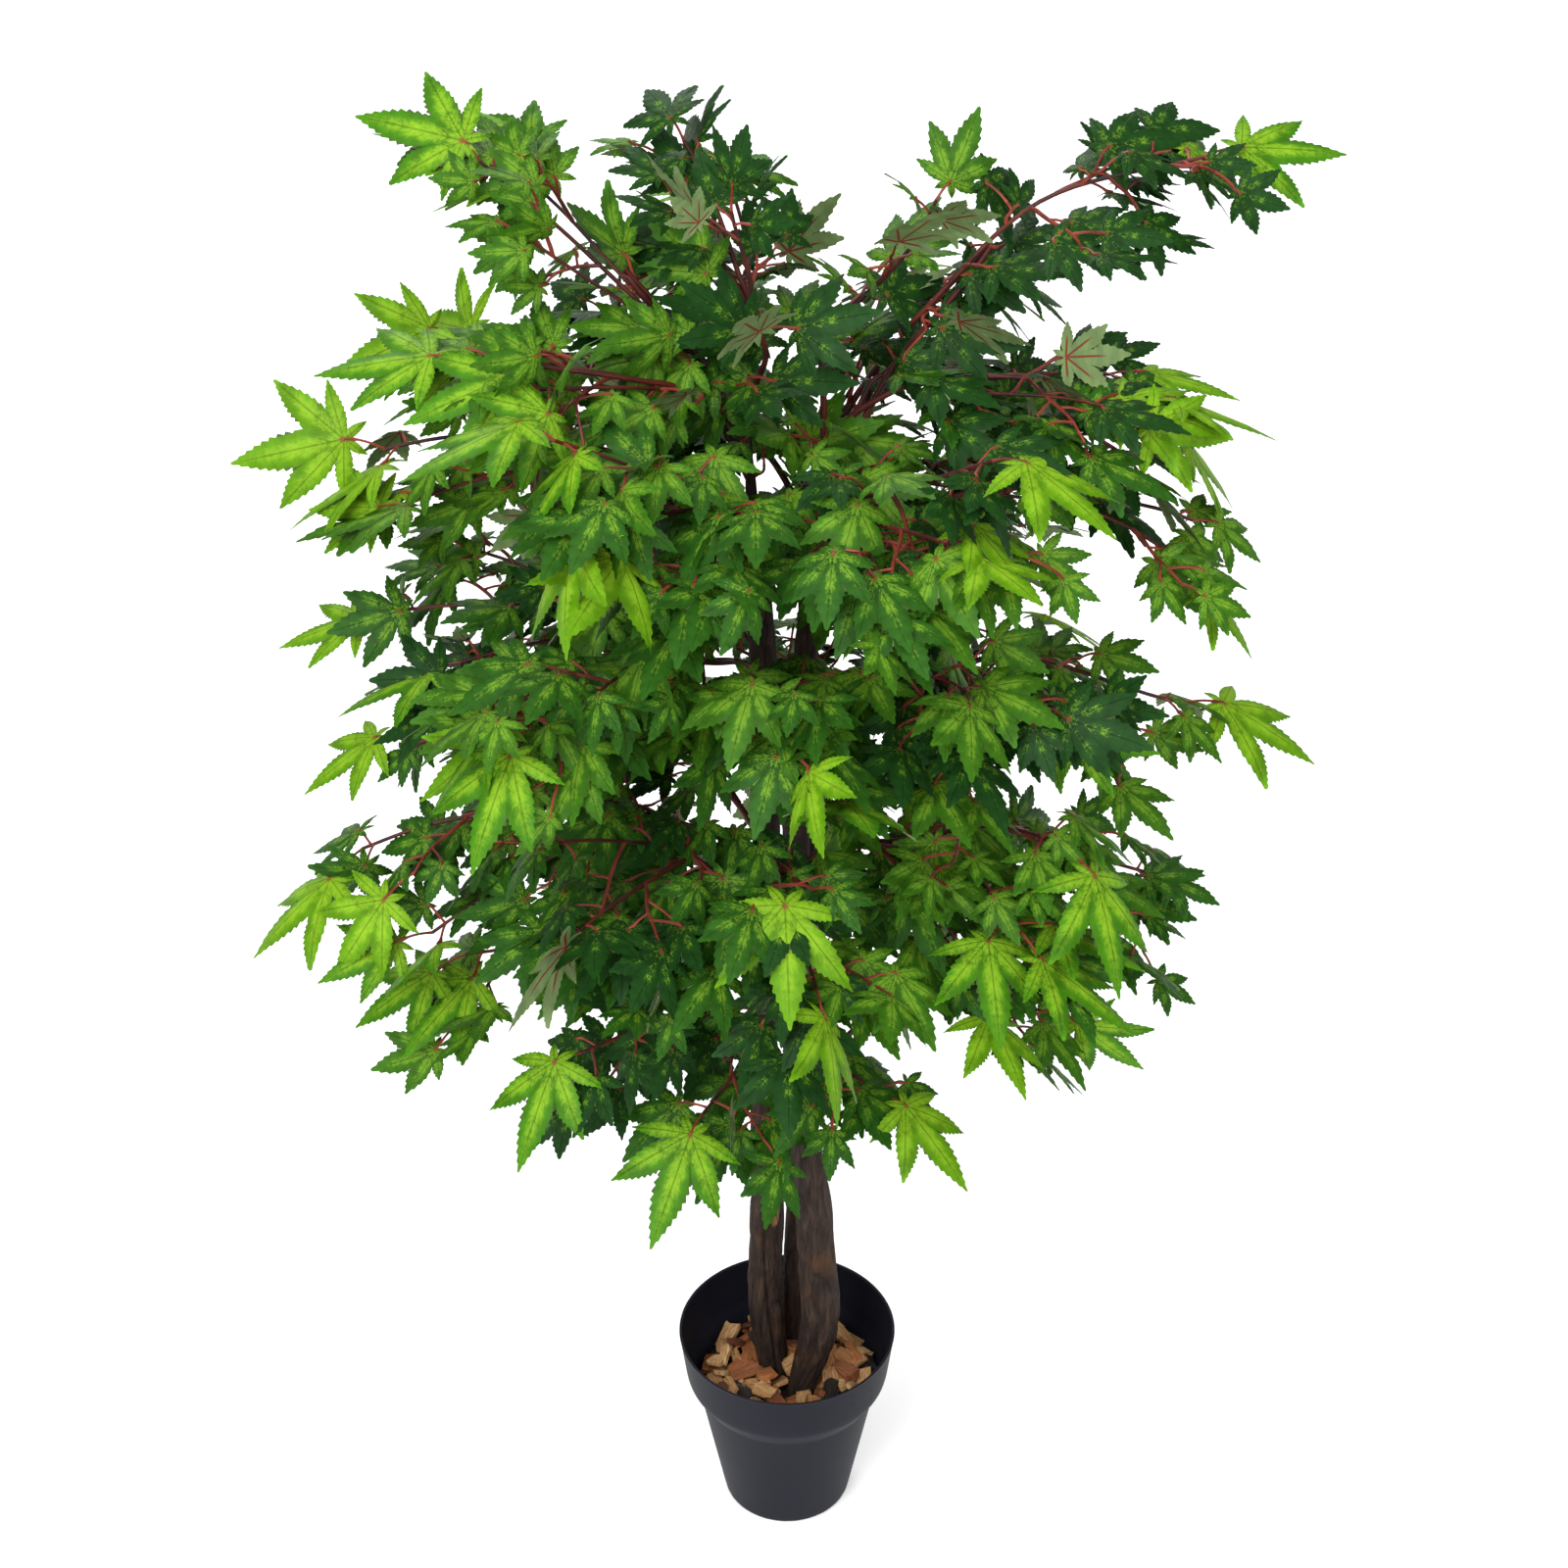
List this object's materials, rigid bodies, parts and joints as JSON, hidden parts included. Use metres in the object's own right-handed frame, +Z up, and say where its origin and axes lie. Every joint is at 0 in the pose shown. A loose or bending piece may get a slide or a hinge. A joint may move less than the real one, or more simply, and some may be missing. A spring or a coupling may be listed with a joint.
{
  "type": "artificial japanese maple tree in a pot",
  "caption": "Life-size artificial Japanese maple: slender wood stems in a tapered collar pot of wood chips, wire boughs and a full oval crown of palmate fabric leaves.",
  "frame": {"origin": "centre of the pot's flat underside, at floor level", "axes": "+Z up along the stems, -Y towards the front of the tree, +X to the right seen from the front"},
  "size_m": [0.7501, 0.6099, 1.212],
  "materials": {
    "pot": "satin",
    "fill": "matte",
    "chips": "matte",
    "bark": "matte",
    "bough": "satin",
    "leaves": "matte"
  },
  "bodies": {
    "root": {"bough_crown_back_right": "bough", "bough_crown_left": "bough", "bough_crown_right": "bough", "bough_high_front": "bough", "bough_high_left": "bough", "bough_high_right": "bough", "bough_low_back_left": "bough", "bough_low_back_right": "bough", "bough_low_front_left": "bough", "bough_low_front_right": "bough", "bough_low_left": "bough", "bough_low_right": "bough", "bough_mid_back": "bough", "bough_mid_front": "bough", "bough_mid_left": "bough", "bough_mid_right": "bough", "bough_top_left_sweep": "bough", "bough_top_right_sweep": "bough", "foliage_crown_back_left": "leaves", "foliage_crown_back_right": "leaves", "foliage_crown_front_left": "leaves", "foliage_crown_front_right": "leaves", "foliage_crown_left": "leaves", "foliage_crown_right": "leaves", "foliage_high_back_left": "leaves", "foliage_high_back_right": "leaves", "foliage_high_front": "leaves", "foliage_high_front_left": "leaves", "foliage_high_front_right": "leaves", "foliage_high_left": "leaves", "foliage_high_right": "leaves", "foliage_low_back": "leaves", "foliage_low_back_left": "leaves", "foliage_low_back_right": "leaves", "foliage_low_front_left": "leaves", "foliage_low_front_right": "leaves", "foliage_low_left": "leaves", "foliage_low_left_front": "leaves", "foliage_low_right": "leaves", "foliage_mid_back": "leaves", "foliage_mid_back_left": "leaves", "foliage_mid_back_right": "leaves", "foliage_mid_front": "leaves", "foliage_mid_front_left": "leaves", "foliage_mid_front_right": "leaves", "foliage_mid_left": "leaves", "foliage_mid_right": "leaves", "foliage_top_left_crest": "leaves", "foliage_top_left_shoulder": "leaves", "foliage_top_left_sweep": "leaves", "foliage_top_right_shoulder": "leaves", "foliage_top_right_sweep": "leaves", "foliage_top_sprig_left": "leaves", "foliage_top_sprig_right": "leaves", "pot": "pot", "pot_fill": "fill", "stem_back": "bark", "stem_left": "bark", "stem_right": "bark", "wood_chips": "chips"}
  },
  "joints": []
}
